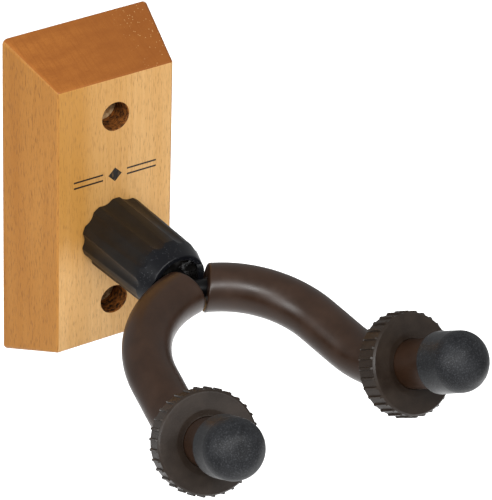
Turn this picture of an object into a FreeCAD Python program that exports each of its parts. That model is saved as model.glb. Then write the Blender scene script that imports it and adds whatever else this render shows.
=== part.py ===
import FreeCAD, Part
import math
import os
import re
import Sketcher
from FreeCAD import Placement, Rotation, Vector

# Wall guitar hanger. +X is to the right facing the wall, -Y stands out of the wall, +Z is up.
# The origin is on the wall, at the middle of the block's back and of its two wall screws.
# Sizes are in millimetres and degrees.

SIZES = {
    # hardwood block, bevelled on all four sides
    "block_back_width": 58.1,
    "block_back_height": 123.0,
    "block_front_width": 45.8,
    "block_front_height": 101.9,
    "block_depth": 26.8,
    "block_round": 0.8,
    "screw_spacing": 72.0,
    "screw_hole_diameter": 5.0,
    "screw_sink_diameter": 10.2,
    "screw_sink_depth": 8.5,
    # swivel through the block, below its middle
    "swivel_drop": 9.0,
    "bore_diameter": 11.0,
    "recess_diameter": 24.0,
    "recess_depth": 14.0,
    "seat_diameter": 16.0,
    "flange_thickness": 1.5,
    "bushing_length": 6.0,
    "stud_diameter": 8.0,
    "running_gap": 0.05,
    "thrust_gap": 0.1,
    "stud_setback": 1.0,
    "thread_relief": 0.35,
    "stud_chamfer": 0.8,
    "washer_diameter": 18.0,
    "washer_thickness": 1.5,
    "spring_diameter": 14.6,
    "spring_thickness": 1.2,
    "spring_slot": 1.4,
    "nut_flats": 13.0,
    "nut_height": 8.0,
    "insert_diameter": 10.4,
    "insert_depth": 2.4,
    "insert_gap": 0.3,
    "spacer_diameter": 12.0,
    # collar on the swivel
    "collar_gap": 0.3,
    "collar_back_radius": 13.5,
    "collar_front_radius": 12.9,
    "collar_body_end": 60.9,
    "collar_nose_end": 68.0,
    "nose_rim_radius": 10.5,
    "nose_round": 0.8,
    "rim_round": 0.6,
    "mouth_radius": 8.7,
    "mouth_floor": 60.0,
    "flute_count": 10.0,
    "flute_depth": 1.15,
    "flute_radius": 5.1,
    "flute_end": 61.0,
    "flute_turn": -13.8,
    "saddle_clearance": 0.25,
    # yoke
    "yoke_reach": 73.5,
    "yoke_turn": -2.75,
    "shoulder_diameter": 12.0,
    "shoulder_end": 64.0,
    "notch_gap": 0.3,
    "rod_diameter": 6.35,
    "rod_middle_bend": 12.0,
    "tube_diameter": 16.7,
    "arm_run": 28.4,
    "arm_sweep": 10.2,
    "arm_droop": 3.0,
    "arm_bend": 37.3,
    "reach_run": 52.5,
    "reach_dip": 14.3,
    "reach_splay": 10.1,
    "tip_bend": 34.0,
    "tip_run": 35.4,
    "tip_rise": 26.9,
    "left_tube_start": 1.2,
    "left_end_turn": 11.5,
    "left_end_tilt": 3.7,
    "right_tube_start": 6.4,
    "right_end_turn": 18.0,
    "right_end_tilt": 7.7,
    "tube_in_cap": 9.0,
    # rubber rings and caps
    "ring_setback": 13.2,
    "ring_thickness": 8.3,
    "ring_radius": 17.15,
    "ring_chamfer": 0.6,
    "ring_gap": 0.06,
    "rib_count": 32.0,
    "rib_width": 0.9,
    "rib_height": 0.6,
    "rib_setback": 0.7,
    "cap_length": 18.4,
    "cap_mouth_radius": 10.4,
    "cap_shoulder": 13.2,
    "cap_shoulder_radius": 10.2,
    "cap_crown_radius": 5.5,
    "cap_round": 7.0,
    # how far a cutting shape runs past what it cuts
    "cutter_overrun": 1.0,
}

LEAST_CUT = 1.0   # a cut that takes away less volume than this has missed the solid
RIM_MATCH = 0.05  # how closely an edge's place and radius match the rim that is looked for

doc = FreeCAD.newDocument("guitar_hanger")
sheet = doc.addObject("Spreadsheet::Sheet", "sizes")
for row, (alias, number) in enumerate(SIZES.items(), start=1):
    sheet.set(f"A{row}", alias)
    sheet.set(f"B{row}", str(number))
    sheet.setAlias(f"B{row}", alias)
doc.recompute()

ALIAS = re.compile(r"\b(" + "|".join(sorted(SIZES, key=len, reverse=True)) + r")\b")
nodes = []


def size(alias):
    """The value of a sheet cell."""
    return float(getattr(sheet, alias))


def bound(expression):
    """The expression with each alias read from the sheet."""
    return ALIAS.sub(r"sizes.\1", expression)


def value(expression):
    """The expression's present value as a plain number."""
    result = sheet.evalExpression(expression)
    return float(getattr(result, "Value", result))


# ---------------------------------------------------------------- sketches and features

def new_body(label):
    body = doc.addObject("PartDesign::Body", label)
    body.Label = label
    nodes.append(body)
    return body


def new_sketch(body, name, plane, offset="0"):
    """A sketch on one of the body's own origin planes, moved along the plane's normal."""
    sketch = body.newObject("Sketcher::SketchObject", name)
    support = [item for item in body.Origin.OriginFeatures if item.Role == plane][0]
    sketch.AttachmentSupport = [(support, "")]
    sketch.MapMode = "FlatFace"
    if offset != "0":
        sketch.setExpression("AttachmentOffset.Base.z", bound(offset))
    return sketch


def pin_point(sketch, curve, end, across, up):
    """Hold one point of a curve at (across, up), both sheet expressions."""
    for kind, axis, expression in (("DistanceX", -2, across), ("DistanceY", -1, up)):
        if expression == "0":
            sketch.addConstraint(Sketcher.Constraint("PointOnObject", curve, end, axis))
            continue
        rule = Sketcher.Constraint(kind, -1, 1, curve, end, value(expression))
        index = sketch.addConstraint(rule)
        sketch.setExpression(f"Constraints[{index}]", bound(expression))


def add_outline(sketch, points):
    """A closed outline of straight edges through (across, up) points."""
    corners = [Vector(value(across), value(up), 0) for across, up in points]
    first = sketch.GeometryCount
    for start, finish in zip(corners, corners[1:] + corners[:1]):
        sketch.addGeometry(Part.LineSegment(start, finish))
    for index, (across, up) in enumerate(points):
        following = first + (index + 1) % len(points)
        sketch.addConstraint(Sketcher.Constraint("Coincident", first + index, 2, following, 1))
        pin_point(sketch, first + index, 1, across, up)


def add_circle(sketch, across, up, diameter):
    centre = Vector(value(across), value(up), 0)
    circle = Part.Circle(centre, Vector(0, 0, 1), value(diameter) / 2)
    curve = sketch.addGeometry(circle)
    pin_point(sketch, curve, 3, across, up)
    rule = Sketcher.Constraint("Diameter", curve, value(diameter))
    index = sketch.addConstraint(rule)
    sketch.setExpression(f"Constraints[{index}]", bound(diameter))


def add_rectangle(sketch, width, height):
    right, top = f"{width} / 2", f"{height} / 2"
    left, bottom = f"-{width} / 2", f"-{height} / 2"
    add_outline(sketch, [(left, bottom), (right, bottom), (right, top), (left, top)])


def revolve(body, name, points, groove=False):
    """Turn an outline of (along Y, radius) points about the body's Y axis."""
    sketch = new_sketch(body, name + "_outline", "YZ_Plane")
    add_outline(sketch, points)
    kind = "PartDesign::Groove" if groove else "PartDesign::Revolution"
    feature = body.newObject(kind, name)
    feature.Profile = (sketch, [""])
    feature.ReferenceAxis = (sketch, ["H_Axis"])
    feature.Angle = 360
    return feature


def pocket(body, name, sketch, depth=None, from_back=False):
    """Cut a sketch into the body: right through, or to a depth from the front or the back."""
    doc.recompute()
    before = body.Shape.Volume
    cut = body.newObject("PartDesign::Pocket", name)
    cut.Profile = (sketch, [""])
    if depth is None:
        cut.Type = "ThroughAll"
        cut.Midplane = True
    else:
        cut.Type = "Length"
        cut.setExpression("Length", bound(depth))
        cut.Reversed = from_back
    doc.recompute()
    if cut.Shape.Volume > before - LEAST_CUT:
        raise RuntimeError(f"{name} cuts nothing")
    return cut


def round_edges(body, name, base, radius, wanted):
    """Fillet the edges of the base feature that the test picks."""
    doc.recompute()
    names = [f"Edge{n}" for n, edge in enumerate(base.Shape.Edges, start=1) if wanted(edge)]
    fillet = body.newObject("PartDesign::Fillet", name)
    fillet.Base = (base, names)
    fillet.setExpression("Radius", bound(radius))
    return fillet


def rim_at(along, radius):
    """A test for a full round edge at a place on the body's Y axis."""
    def test(edge):
        middle = edge.BoundBox.Center
        off_place = abs(middle.y - value(along))
        off_radius = abs(edge.BoundBox.XLength / 2 - value(radius))
        return max(off_place, off_radius) < RIM_MATCH
    return test


# ---------------------------------------------------------------- where things stand

swivel_place = Placement(Vector(0, 0, -size("swivel_drop")), Rotation())
yoke_turned = Rotation(Vector(0, 1, 0), size("yoke_turn"))
yoke_place = swivel_place.multiply(Placement(Vector(), yoke_turned))


def direction(sideways, upward):
    """Unit vector leaving the wall, turned sideways from straight out and tilted upward."""
    turn, tilt = math.radians(sideways), math.radians(upward)
    flat = math.cos(tilt)
    return Vector(math.sin(turn) * flat, -math.cos(turn) * flat, math.sin(tilt))


def arm_corners(side):
    """Corners of one arm's centre line, in the yoke's own frame; side is 1 right, -1 left."""
    runs = [
        (size("arm_run"), direction(90 - size("arm_sweep"), -size("arm_droop"))),
        (size("reach_run"), direction(size("reach_splay"), -size("reach_dip"))),
        (size("tip_run"), direction(size("reach_splay"), size("tip_rise"))),
    ]
    corners = [Vector(0, -size("yoke_reach"), 0)]
    for length, heading in runs:
        heading.x = heading.x * side
        corners.append(corners[-1] + heading * length)
    return corners


def longer(corners, extra):
    """The same corners with the last run made longer."""
    heading = (corners[-1] - corners[-2]).normalize()
    return corners[:-1] + [corners[-1] + heading * extra]


def bent_edges(corners, radii):
    """Straight runs joined by tangent arcs."""
    edges = []
    start = corners[0]
    for before, corner, after, radius in zip(corners, corners[1:], corners[2:], radii):
        incoming = (corner - before).normalize()
        outgoing = (after - corner).normalize()
        turn = incoming.getAngle(outgoing)
        reach = radius * math.tan(turn / 2)
        arc_start = corner - incoming * reach
        arc_end = corner + outgoing * reach
        towards = (outgoing - incoming).normalize()
        arc_middle = corner + towards * (radius / math.cos(turn / 2) - radius)
        edges.append(Part.LineSegment(start, arc_start).toShape())
        edges.append(Part.Arc(arc_start, arc_middle, arc_end).toShape())
        start = arc_end
    edges.append(Part.LineSegment(start, corners[-1]).toShape())
    return edges


def tip_place(side):
    """The frame at an arm's tip: +Y runs out along the tip."""
    corners = arm_corners(side)
    heading = corners[-1] - corners[-2]
    here = Placement(corners[-1], Rotation(Vector(0, 1, 0), heading))
    return yoke_place.multiply(here)


def sweep(name, edges, diameter):
    """A round bar along a route of edges."""
    route = doc.addObject("Part::Feature", name + "_route")
    route.Shape = Part.Wire(edges)
    section = doc.addObject("Part::Circle", name + "_section")
    section.setExpression("Radius", bound(f"{diameter} / 2"))
    heading = edges[0].tangentAt(edges[0].FirstParameter)
    start = edges[0].valueAt(edges[0].FirstParameter)
    section.Placement = Placement(start, Rotation(Vector(0, 0, 1), heading))
    bar = doc.addObject("Part::Sweep", name)
    bar.Sections = [section]
    bar.Spine = (route, [f"Edge{n}" for n in range(1, len(edges) + 1)])
    bar.Solid = True
    bar.Frenet = False
    return bar


def cut_by(label, base, tool):
    """The base with the tool's shape taken out of it."""
    cut = doc.addObject("Part::Cut", label)
    cut.Base = base
    cut.Tool = tool
    cut.Label = label
    return cut


def rod_route(extra):
    """The rod's centre line from tip to tip, each end reaching past the tip."""
    left = longer(arm_corners(-1), extra)
    right = longer(arm_corners(1), extra)
    bends = [size("tip_bend"), size("arm_bend"), size("rod_middle_bend"),
             size("arm_bend"), size("tip_bend")]
    return bent_edges(left[:0:-1] + right, bends)


# ---------------------------------------------------------------- wall side

def make_wood_block():
    body = new_body("wood_block")
    back = new_sketch(body, "block_back", "XZ_Plane")
    add_rectangle(back, "block_back_width", "block_back_height")
    front = new_sketch(body, "block_front", "XZ_Plane", "block_depth")
    add_rectangle(front, "block_front_width", "block_front_height")
    loft = body.newObject("PartDesign::AdditiveLoft", "block_loft")
    loft.Profile = (back, [""])
    loft.Sections = [(front, [""])]
    loft.Ruled = True
    round_edges(body, "block_edges", loft, "block_round", lambda edge: True)

    screws = new_sketch(body, "screw_holes", "XZ_Plane")
    sinks = new_sketch(body, "screw_sinks", "XZ_Plane", "block_depth")
    for up in ("screw_spacing / 2", "-screw_spacing / 2"):
        add_circle(screws, "0", up, "screw_hole_diameter")
        add_circle(sinks, "0", up, "screw_sink_diameter")
    pocket(body, "screw_hole_cut", screws)
    pocket(body, "screw_sink_cut", sinks, "screw_sink_depth")

    bore = new_sketch(body, "swivel_bore", "XZ_Plane")
    add_circle(bore, "0", "-swivel_drop", "bore_diameter")
    pocket(body, "swivel_bore_cut", bore)
    recess = new_sketch(body, "nut_recess", "XZ_Plane")
    add_circle(recess, "0", "-swivel_drop", "recess_diameter")
    pocket(body, "nut_recess_cut", recess, "recess_depth", from_back=True)
    seat = new_sketch(body, "bushing_seat", "XZ_Plane", "block_depth")
    add_circle(seat, "0", "-swivel_drop", "seat_diameter")
    pocket(body, "bushing_seat_cut", seat, "flange_thickness")


def make_bushing(label, flange_outside, flange_inside, barrel_end, flange_radius):
    """A flanged plain bushing: along-Y places of its flange and barrel end."""
    inner = "stud_diameter / 2 + running_gap"
    body = new_body(label)
    revolve(body, label + "_turned", [
        (flange_outside, inner),
        (flange_outside, flange_radius),
        (flange_inside, flange_radius),
        (flange_inside, "bore_diameter / 2"),
        (barrel_end, "bore_diameter / 2"),
        (barrel_end, inner),
    ])
    body.Placement = swivel_place


def make_bushings():
    make_bushing("front_bushing", "-block_depth", "-block_depth + flange_thickness",
                 "-block_depth + flange_thickness + bushing_length", "seat_diameter / 2")
    make_bushing("rear_bushing", "-recess_depth + flange_thickness", "-recess_depth",
                 "-recess_depth - bushing_length / 2", "washer_diameter / 2")


# ---------------------------------------------------------------- turning with the yoke

def make_disc(label, near, far, hole, outside):
    """A plain ring about the swivel between two along-Y places."""
    body = new_body(label)
    revolve(body, label + "_turned", [(near, hole), (near, outside), (far, outside), (far, hole)])
    body.Placement = yoke_place
    return body


BACK_WASHER = "-recess_depth + flange_thickness + thrust_gap"
SPRING = BACK_WASHER + " + washer_thickness"
NUT_FRONT = SPRING + " + spring_thickness"
NUT_BACK = NUT_FRONT + " + nut_height"
FRONT_WASHER = "-block_depth - thrust_gap"
SPACER = FRONT_WASHER + " - washer_thickness"
STUD_HOLE = "stud_diameter / 2 + running_gap"


def make_swivel_shaft(rod_space):
    """Stud with a shoulder in the collar's mouth; its front end is coped to fit the yoke rod."""
    body = doc.addObject("PartDesign::Body", "shaft_body")
    stud = "stud_diameter / 2"
    thread = "stud_diameter / 2 - thread_relief"
    revolve(body, "shaft_turned", [
        ("-stud_setback", "0"),
        ("-stud_setback", thread + " - stud_chamfer"),
        ("-stud_setback - stud_chamfer", thread),
        (f"{SPRING} - washer_thickness", thread),
        (f"{SPRING} - washer_thickness - thread_relief", stud),
        ("-mouth_floor", stud),
        ("-mouth_floor", "shoulder_diameter / 2"),
        ("-shoulder_end", "shoulder_diameter / 2"),
        ("-shoulder_end", stud),
        ("-yoke_reach", stud),
        ("-yoke_reach", "0"),
    ])
    body.Placement = yoke_place
    nodes.append(cut_by("swivel_shaft", body, rod_space))


def make_spring_washer():
    body = make_disc("spring_washer", SPRING, NUT_FRONT, STUD_HOLE, "spring_diameter / 2")
    slot = new_sketch(body, "spring_split", "XZ_Plane")
    add_outline(slot, [
        ("-spring_slot / 2", "stud_diameter / 4"),
        ("spring_slot / 2", "stud_diameter / 4"),
        ("spring_slot / 2", "spring_diameter"),
        ("-spring_slot / 2", "spring_diameter"),
    ])
    pocket(body, "spring_split_cut", slot)
    body.Placement = yoke_place


def make_lock_nut():
    """Hexagon nut with a round pocket for its nylon insert in the end by the wall."""
    body = new_body("lock_nut")
    hexagon = new_sketch(body, "nut_hexagon", "XZ_Plane", f"-({NUT_BACK})")
    corner = "nut_flats / sqrt(3)"
    add_outline(hexagon, [
        (f"{corner} * cos({angle} deg)", f"{corner} * sin({angle} deg)") if angle % 180 else
        (f"{corner} * cos({angle} deg)", "0")
        for angle in range(0, 360, 60)
    ])
    pad = body.newObject("PartDesign::Pad", "nut_pad")
    pad.Profile = (hexagon, [""])
    pad.setExpression("Length", bound("nut_height"))
    floor = f"{NUT_BACK} - insert_depth - insert_gap"
    thread = "stud_diameter / 2 - thread_relief"
    beyond = f"{NUT_BACK} + insert_gap"
    revolve(body, "nut_bored", [
        (f"{NUT_FRONT} - insert_gap", "0"),
        (f"{NUT_FRONT} - insert_gap", thread),
        (floor, thread),
        (floor, "insert_diameter / 2"),
        (beyond, "insert_diameter / 2"),
        (beyond, "0"),
    ], groove=True)
    body.Placement = yoke_place


def make_collar():
    """Fluted sleeve with a rounded nose, an open mouth and a saddle for the two tubes."""
    body = new_body("collar")
    back = "-block_depth - collar_gap"
    shell = revolve(body, "collar_turned", [
        (back, "washer_diameter / 2 + running_gap"),
        (back, "collar_back_radius"),
        ("-collar_body_end", "collar_front_radius"),
        ("-collar_nose_end", "nose_rim_radius"),
        ("-collar_nose_end", "mouth_radius"),
        ("-mouth_floor", "mouth_radius"),
        ("-mouth_floor", "spacer_diameter / 2"),
        (SPACER, "spacer_diameter / 2"),
        (SPACER, "washer_diameter / 2 + running_gap"),
    ])
    shoulder = round_edges(body, "nose_rounded", shell, "nose_round",
                           rim_at("-collar_body_end", "collar_front_radius"))
    round_edges(body, "rim_rounded", shoulder, "rim_round",
                rim_at("-collar_nose_end", "nose_rim_radius"))

    # one flute: a ball-ended round cutter lying beside the collar, then ten of them
    doc.recompute()
    before = body.Shape.Volume
    cutter = new_sketch(body, "flute_outline", "YZ_Plane")
    axis_up = "collar_back_radius - flute_depth + flute_radius"
    bottom_up = "collar_back_radius - flute_depth"
    beyond_back = back + " + cutter_overrun"
    start = Vector(value(beyond_back), value(axis_up), 0)
    start_low = Vector(start.x, value(bottom_up), 0)
    ball = Vector(-size("flute_end"), value(axis_up), 0)
    ball_low = Vector(ball.x, start_low.y, 0)
    radius = size("flute_radius")
    cutter.addGeometry(Part.LineSegment(start, start_low))
    cutter.addGeometry(Part.LineSegment(start_low, ball_low))
    round_end = Part.Circle(ball, Vector(0, 0, 1), radius)
    cutter.addGeometry(Part.ArcOfCircle(round_end, math.pi, math.pi * 1.5))
    cutter.addGeometry(Part.LineSegment(ball - Vector(radius, 0, 0), start))
    for rule in (("Coincident", 0, 2, 1, 1), ("Coincident", 1, 2, 2, 2),
                 ("Coincident", 2, 1, 3, 1), ("Coincident", 3, 2, 0, 1),
                 ("PointOnObject", 2, 3, 3)):
        cutter.addConstraint(Sketcher.Constraint(*rule))
    pin_point(cutter, 0, 1, beyond_back, axis_up)
    pin_point(cutter, 1, 1, beyond_back, bottom_up)
    pin_point(cutter, 2, 3, "-flute_end", axis_up)
    lowest = cutter.addConstraint(Sketcher.Constraint("DistanceY", -1, 1, 1, 2, start_low.y))
    cutter.setExpression(f"Constraints[{lowest}]", bound(bottom_up))
    cutter.addConstraint(Sketcher.Constraint("Vertical", 1, 2, 2, 3))
    flute = body.newObject("PartDesign::Groove", "flute")
    flute.Profile = (cutter, [""])
    flute.ReferenceAxis = (cutter, ["Edge4"])
    flute.Angle = 360
    doc.recompute()
    if flute.Shape.Volume > before - LEAST_CUT:
        raise RuntimeError("the flute cuts nothing")
    flutes = body.newObject("PartDesign::PolarPattern", "flutes")
    flutes.Originals = [flute]
    swivel_axis = [item for item in body.Origin.OriginFeatures if item.Role == "Y_Axis"][0]
    flutes.Axis = (swivel_axis, [""])
    flutes.Angle = 360
    flutes.setExpression("Occurrences", bound("flute_count"))
    body.Tip = flutes
    turned = Placement(Vector(), Rotation(Vector(0, 1, 0), size("flute_turn")))
    return body, yoke_place.multiply(turned)


def make_saddled_collar():
    """The tubes' shape, a little enlarged, is cut out of the collar's nose."""
    body, place = make_collar()
    nodes.remove(body)
    body.Label = "collar_body"
    body.Placement = place
    for name, side in (("left_saddle", -1), ("right_saddle", 1)):
        corners = arm_corners(side)
        heading = corners[1] - corners[0]
        bar = doc.addObject("Part::Cylinder", name)
        bar.setExpression("Radius", bound("tube_diameter / 2 + saddle_clearance"))
        bar.setExpression("Height", bound("arm_run"))
        here = Placement(corners[0], Rotation(Vector(0, 0, 1), heading))
        bar.Placement = yoke_place.multiply(here)
        body = cut_by("collar_" + name, body, bar)
    body.Label = "collar"
    nodes.append(body)


def make_yoke_rod():
    rod = sweep("yoke_rod", rod_route(size("tube_in_cap")), "rod_diameter")
    rod.Placement = yoke_place
    nodes.append(rod)


def make_rod_space():
    """The rod's shape, a little longer, which the tubes and the stud are cut to fit."""
    length = size("tube_in_cap") + size("cutter_overrun")
    space = sweep("rod_space", rod_route(length), "rod_diameter")
    space.Placement = yoke_place
    return space


def make_end_trim(name, side):
    """What is cut off a tube's inner end: everything past a slanted plane."""
    corners = arm_corners(side)
    along = (corners[1] - corners[0]).normalize()
    cut_at = corners[0] + along * size(name + "_tube_start")
    sideways = 90 - size("arm_sweep") - size(name + "_end_turn")
    outward = direction(sideways, -size("arm_droop") - size(name + "_end_tilt"))
    outward.x = outward.x * side
    trim = doc.addObject("Part::Cylinder", name + "_end_trim")
    trim.setExpression("Radius", bound("tube_diameter"))
    trim.setExpression("Height", bound("tube_diameter"))
    here = Placement(cut_at, Rotation(Vector(0, 0, 1), outward * -1))
    trim.Placement = yoke_place.multiply(here)
    return trim


def make_tube(label, name, side, rod_space):
    corners = longer(arm_corners(side), size("tube_in_cap"))
    along = (corners[1] - corners[0]).normalize()
    corners[0] = corners[0] - along * size("cutter_overrun")
    edges = bent_edges(corners, [size("arm_bend"), size("tip_bend")])
    bar = sweep(label + "_bar", edges, "tube_diameter")
    bar.Placement = yoke_place
    trimmed = cut_by(label + "_trimmed", bar, make_end_trim(name, side))
    return cut_by(label, trimmed, rod_space)


def make_tubes(rod_space):
    """The left tube reaches past the stud, so its inner end is notched at the back."""
    notch = doc.addObject("Part::Cylinder", "stud_notch")
    notch.setExpression("Radius", bound("stud_diameter / 2 + notch_gap"))
    notch.setExpression("Height", bound("yoke_reach - mouth_floor"))
    along = Rotation(Vector(0, 0, 1), Vector(0, 1, 0))
    here = Placement(Vector(0, -size("yoke_reach"), 0), along)
    notch.Placement = yoke_place.multiply(here)
    uncut = make_tube("left_tube_whole", "left", -1, rod_space)
    nodes.append(cut_by("left_tube", uncut, notch))
    nodes.append(make_tube("right_tube", "right", 1, rod_space))


def make_cap(label, side):
    """Domed rubber cap with a blind hole for the tube's end."""
    body = new_body(label)
    turned = revolve(body, label + "_turned", [
        ("tube_in_cap", "0"),
        ("tube_in_cap", "tube_diameter / 2"),
        ("0", "tube_diameter / 2"),
        ("0", "cap_mouth_radius"),
        ("cap_shoulder", "cap_shoulder_radius"),
        ("cap_length", "cap_crown_radius"),
        ("cap_length", "0"),
    ])
    at_shoulder = rim_at("cap_shoulder", "cap_shoulder_radius")
    at_crown = rim_at("cap_length", "cap_crown_radius")
    round_edges(body, label + "_rounded", turned, "cap_round",
                lambda edge: at_shoulder(edge) or at_crown(edge))
    body.Placement = tip_place(side)


# ---------------------------------------------------------------- sliding rings

def make_ring(label, side):
    """Rubber ring with ribs across its rim."""
    body = new_body(label)
    back = "-ring_setback - ring_thickness"
    hole = "tube_diameter / 2 + ring_gap"
    revolve(body, label + "_disc", [
        (back, hole),
        (back, "ring_radius - ring_chamfer"),
        (back + " + ring_chamfer", "ring_radius"),
        ("-ring_setback - ring_chamfer", "ring_radius"),
        ("-ring_setback", "ring_radius - ring_chamfer"),
        ("-ring_setback", hole),
    ])
    rib = new_sketch(body, label + "_rib_outline", "XZ_Plane", "ring_setback + rib_setback")
    add_outline(rib, [
        ("-rib_width / 2", "ring_radius - rib_height"),
        ("rib_width / 2", "ring_radius - rib_height"),
        ("rib_width / 3", "ring_radius + rib_height"),
        ("-rib_width / 3", "ring_radius + rib_height"),
    ])
    pad = body.newObject("PartDesign::Pad", label + "_rib")
    pad.Profile = (rib, [""])
    pad.setExpression("Length", bound("ring_thickness - 2 * rib_setback"))
    ribs = body.newObject("PartDesign::PolarPattern", label + "_ribs")
    ribs.Originals = [pad]
    ring_axis = [item for item in body.Origin.OriginFeatures if item.Role == "Y_Axis"][0]
    ribs.Axis = (ring_axis, [""])
    ribs.Angle = 360
    ribs.setExpression("Occurrences", bound("rib_count"))
    body.Tip = ribs
    body.Placement = tip_place(side)


def make_all():
    rod_space = make_rod_space()
    make_wood_block()
    make_bushings()
    make_swivel_shaft(rod_space)
    make_disc("back_washer", BACK_WASHER, SPRING, STUD_HOLE, "washer_diameter / 2")
    make_spring_washer()
    make_lock_nut()
    make_disc("nut_insert", f"{NUT_BACK} - insert_depth - insert_gap", f"{NUT_BACK} - insert_gap",
              "stud_diameter / 2 - thread_relief", "insert_diameter / 2")
    make_disc("front_washer", SPACER, FRONT_WASHER, STUD_HOLE, "washer_diameter / 2")
    make_disc("spacer_sleeve", "-mouth_floor", SPACER, STUD_HOLE, "spacer_diameter / 2")
    make_saddled_collar()
    make_yoke_rod()
    make_tubes(rod_space)
    for name, side in (("left", -1), ("right", 1)):
        make_cap(name + "_cap", side)
        make_ring(name + "_ring", side)


def check_and_write():
    doc.recompute()
    for item in doc.Objects:
        if "Invalid" in item.State or "Error" in item.State:
            raise RuntimeError(f"{item.Name} is {item.State}")
    for node in nodes:
        if node.Shape.isNull() or not node.Shape.isValid():
            raise RuntimeError(f"{node.Label} has no valid shape")
    os.makedirs("parts", exist_ok=True)
    for node in nodes:
        node.Shape.exportStep(f"parts/{node.Label}.step")
        box = node.Shape.BoundBox
        corners = [round(number, 1) for number in (box.XMin, box.XMax, box.YMin, box.YMax,
                                                   box.ZMin, box.ZMax)]
        print(node.Label, len(node.Shape.Solids), round(node.Shape.Volume), corners)


make_all()
check_and_write()
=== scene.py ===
import math

import bmesh
import bpy
from mathutils import Matrix, Vector, noise


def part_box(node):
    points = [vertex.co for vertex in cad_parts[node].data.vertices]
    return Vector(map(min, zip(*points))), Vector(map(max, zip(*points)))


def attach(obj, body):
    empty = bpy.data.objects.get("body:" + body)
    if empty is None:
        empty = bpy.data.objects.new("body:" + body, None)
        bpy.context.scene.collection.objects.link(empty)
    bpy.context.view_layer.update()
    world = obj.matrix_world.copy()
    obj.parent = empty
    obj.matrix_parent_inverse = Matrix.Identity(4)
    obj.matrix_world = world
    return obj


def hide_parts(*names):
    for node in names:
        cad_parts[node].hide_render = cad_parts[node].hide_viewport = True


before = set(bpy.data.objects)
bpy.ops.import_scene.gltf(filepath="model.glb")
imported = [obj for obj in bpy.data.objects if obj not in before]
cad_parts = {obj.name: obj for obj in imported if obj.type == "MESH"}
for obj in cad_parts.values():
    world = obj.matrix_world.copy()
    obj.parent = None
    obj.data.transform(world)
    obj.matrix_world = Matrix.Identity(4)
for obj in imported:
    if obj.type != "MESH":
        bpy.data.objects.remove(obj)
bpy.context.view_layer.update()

# Wall guitar hanger. Metres; +X is to the right facing the wall, -Y stands out of the wall, +Z up.

# ---------------------------------------------------------------- sizes, as in the CAD where it has them

BLOCK_FRONT_WIDTH = 0.0458
BLOCK_FRONT_HEIGHT = 0.1019
BLOCK_ROUND = 0.0008
BLOCK_BACK_CORNER = 0.0020
BLOCK_FRONT_CORNER = 0.0009
BACK_EDGE_OUT = 0.00014      # how far the sharp back edges would stand outside the rounded ones,
BACK_EDGE_UP = 0.00025       # at the sides and at the top and bottom
SCREW_UP = 0.036
SCREW_RADIUS = 0.0025
SINK_RADIUS = 0.0051
SINK_DEPTH = 0.0085
SINK_CHAMFER = 0.0003

SWIVEL = Vector((0.0, 0.0, -0.009))
BORE_RADIUS = 0.0055
RECESS_RADIUS = 0.012
RECESS_DEPTH = 0.014
SEAT_RADIUS = 0.008
SEAT_DEPTH = 0.0015
STUD_RADIUS = 0.004
SPACER_RADIUS = 0.006
WASHER_RADIUS = 0.009
WASHER_THICKNESS = 0.0015
WASHER_GAP = 0.00005
THRUST_GAP = 0.0001

COLLAR_BACK_RADIUS = 0.0135
COLLAR_FRONT_RADIUS = 0.0129
COLLAR_GAP = 0.0003
COLLAR_BODY_END = 0.0609
COLLAR_NOSE_END = 0.068
NOSE_RIM_RADIUS = 0.0105
NOSE_ROUND = 0.0008
RIM_ROUND = 0.0006
COLLAR_EDGE_ROUND = 0.0003
WASHER_SEAT_ROUND = 0.0001
MOUTH_RADIUS = 0.0087
MOUTH_ROUND = 0.0003
MOUTH_FLOOR = 0.060
MOUTH_FLOOR_ROUND = 0.0004
FILL_FRONT = 0.0666
FILL_GAP = 0.0001
FILL_LUMPS = 0.0014
LUMPS_PER_METRE = 260
PITS_PER_METRE = 560
FLUTE_COUNT = 10
FLUTE_DEPTH = 0.00115
FLUTE_RADIUS = 0.0051
FLUTE_END = 0.0610
FLUTE_TURN = -13.8
FLUTE_EDGE = 0.00022
SADDLE_CLEARANCE = 0.00025

YOKE_REACH = 0.0735
YOKE_TURN = -2.75
ROD_RADIUS = 0.003175
ROD_MIDDLE_BEND = 0.012
TUBE_RADIUS = 0.00835
TUBE_BORE_GAP = 0.00004
ARM_RUN = 0.0284
ARM_SWEEP = 10.2
ARM_DROOP = 3.0
ARM_BEND = 0.0373
REACH_RUN = 0.0525
REACH_DIP = 14.3
REACH_SPLAY = 10.1
TIP_BEND = 0.034
TIP_RUN = 0.0354
TIP_RISE = 26.9
TUBE_START = {-1: 0.0012, 1: 0.0064}
END_TURN = {-1: 11.5, 1: 18.0}
END_TILT = {-1: 3.7, 1: 7.7}
END_FADE = 0.0075
TUBE_IN_CAP = 0.009
TUBE_END_ROUND = 0.0007
NOTCH_GAP = 0.0003

RING_SETBACK = 0.0132
RING_THICKNESS = 0.0083
RING_RADIUS = 0.01715
RING_CHAMFER = 0.0006
RING_GAP = 0.00006
RIB_COUNT = 32
RIB_WIDTH = 0.00085
RIB_HEIGHT = 0.0006
RIB_SETBACK = 0.0007
RIB_FLANK = 0.00016
RIB_END_SLOPE = 0.0004
RING_CORNER_ROUND = 0.0002
RING_EDGE_ROUND = 0.0001
DISH_RADIUS = 0.0107
DISH_DEPTH = 0.00035
DISH_FLOOR = 0.0004
DISH_ROUND = 0.0020

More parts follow.
